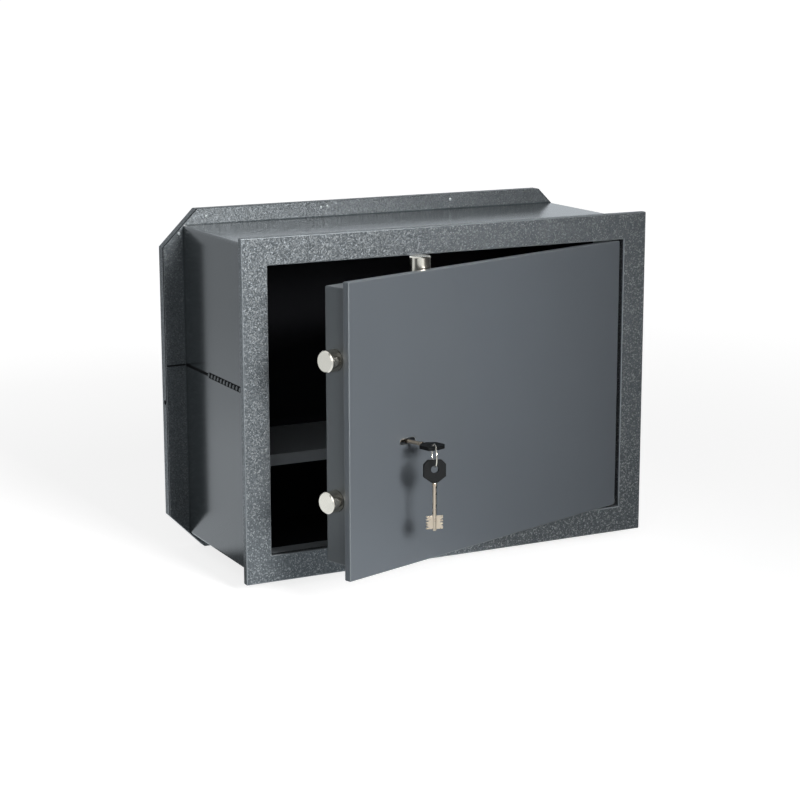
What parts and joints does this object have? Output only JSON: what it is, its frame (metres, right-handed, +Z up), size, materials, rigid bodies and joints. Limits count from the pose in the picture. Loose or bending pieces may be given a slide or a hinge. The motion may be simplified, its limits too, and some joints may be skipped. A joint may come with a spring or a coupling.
{
  "type": "wall safe",
  "caption": "Wall safe with a thick front frame, a rear anchoring flange, a hinged door with sliding bolts, a keyed lock, a loose shelf and keys on a ring.",
  "frame": {"origin": "centre of the back panel's rear face", "axes": "+Y into the wall, out of the back panel; +Z up; +X to the right seen from the front"},
  "size_m": [0.505, 0.3532, 0.376],
  "materials": {
    "hammered_paint": "speckled hammer-finish grey paint",
    "satin_paint": "smooth satin dark grey paint",
    "weld_paint": "painted weld bead",
    "nickel": "nickel plating",
    "zinc": "zinc-plated steel",
    "brass": "plain stamped brass",
    "spring_steel": "blued spring steel",
    "black_plastic": "moulded black plastic"
  },
  "bodies": {
    "safe_body": {"front_frame": "hammered_paint", "door_sill": "satin_paint", "upper_shell": "satin_paint", "lower_shell": "satin_paint", "rear_panel": "hammered_paint", "seam_weld_left": "weld_paint", "seam_weld_right": "weld_paint", "shelf_support_left": "satin_paint", "shelf_support_right": "satin_paint", "hinge_bracket_upper": "zinc", "hinge_bracket_lower": "zinc"},
    "shelf": {"shelf": "satin_paint"},
    "door": {"door_plate": "satin_paint", "hinge_block_upper": "zinc", "hinge_block_lower": "zinc", "hinge_pin_upper": "zinc", "hinge_pin_lower": "zinc", "thrust_washer": "brass", "lock_cover": "satin_paint", "cover_post_1": "zinc", "cover_post_2": "zinc", "cover_post_3": "zinc", "cover_post_4": "zinc", "cover_screw_1": "zinc", "cover_screw_2": "zinc", "cover_screw_3": "zinc", "cover_screw_4": "zinc", "side_bolt_guide": "zinc", "top_bolt_guide": "zinc", "slide_bridge": "zinc", "guide_stud_1": "zinc", "guide_stud_2": "zinc", "lock_case": "zinc", "lock_lid": "zinc", "lock_lid_screw_1": "zinc", "lock_lid_screw_2": "zinc", "lever_pin": "zinc", "lever_spring": "spring_steel"},
    "levers": {"lever_1": "brass", "lever_2": "brass", "lever_3": "brass", "lever_4": "brass"},
    "carriage": {"bolt_carriage": "zinc", "side_bolt_upper": "nickel", "side_bolt_lower": "nickel", "side_bolt_screw_1": "zinc", "side_bolt_screw_2": "zinc", "drive_pin": "zinc", "lock_tongue": "brass", "tongue_rivet_1": "zinc", "tongue_rivet_2": "zinc"},
    "top_bolt_set": {"top_bolt": "nickel", "top_slide": "zinc", "top_bolt_screw_1": "zinc"},
    "key": {"key_blade": "nickel", "key_bow": "black_plastic"},
    "ring": {"key_ring": "nickel"},
    "spare_key": {"spare_key_blade": "nickel", "spare_key_bow": "black_plastic"}
  },
  "joints": [
    {"name": "door_swing", "type": "hinge", "parent": "safe_body", "child": "door", "pos_m": [0.194, -0.1873, 0], "axis": [0, 0, 1], "range_deg": [-11.5, 86.5]},
    {"name": "key_turn", "type": "hinge", "parent": "door", "child": "key", "pos_m": [-0.09507, -0.33279, -0.0197], "axis": [0.3173, -0.9483, 0], "range_deg": [0, 360]},
    {"name": "carriage_slide", "type": "slide", "parent": "door", "child": "carriage", "axis": [0.9483, 0.3173, 0], "range_m": [0, 0.013]},
    {"name": "top_bolt_slide", "type": "slide", "parent": "door", "child": "top_bolt_set", "axis": [0, 0, -1], "range_m": [0, 0.013]},
    {"name": "lever_lift", "type": "hinge", "parent": "door", "child": "levers", "pos_m": [-0.11936, -0.29394, 0.004], "axis": [0.3173, -0.9483, 0], "range_deg": [0, 6], "stiffness_Nm_per_rad": 0.02, "springref_deg": -11.46},
    {"name": "ring_swing", "type": "hinge", "parent": "key", "child": "ring", "pos_m": [-0.09507, -0.33279, -0.0197], "axis": [0.9613, -0.2756, 0], "range_deg": [-25, 7]},
    {"name": "spare_key_swing", "type": "hinge", "parent": "ring", "child": "spare_key", "pos_m": [-0.0975, -0.34125, -0.0382], "axis": [-0.2756, -0.9613, 0], "range_deg": [-20, 20]},
    {"name": "shelf_lift", "type": "slide", "parent": "safe_body", "child": "shelf", "axis": [0, 0, 1], "range_m": [0, 0.025]}
  ],
  "couplings": [
    {"joint": "key_turn", "follows": "carriage_slide", "rad_per_m": 483.32},
    {"joint": "top_bolt_slide", "follows": "carriage_slide", "ratio": 1}
  ]
}
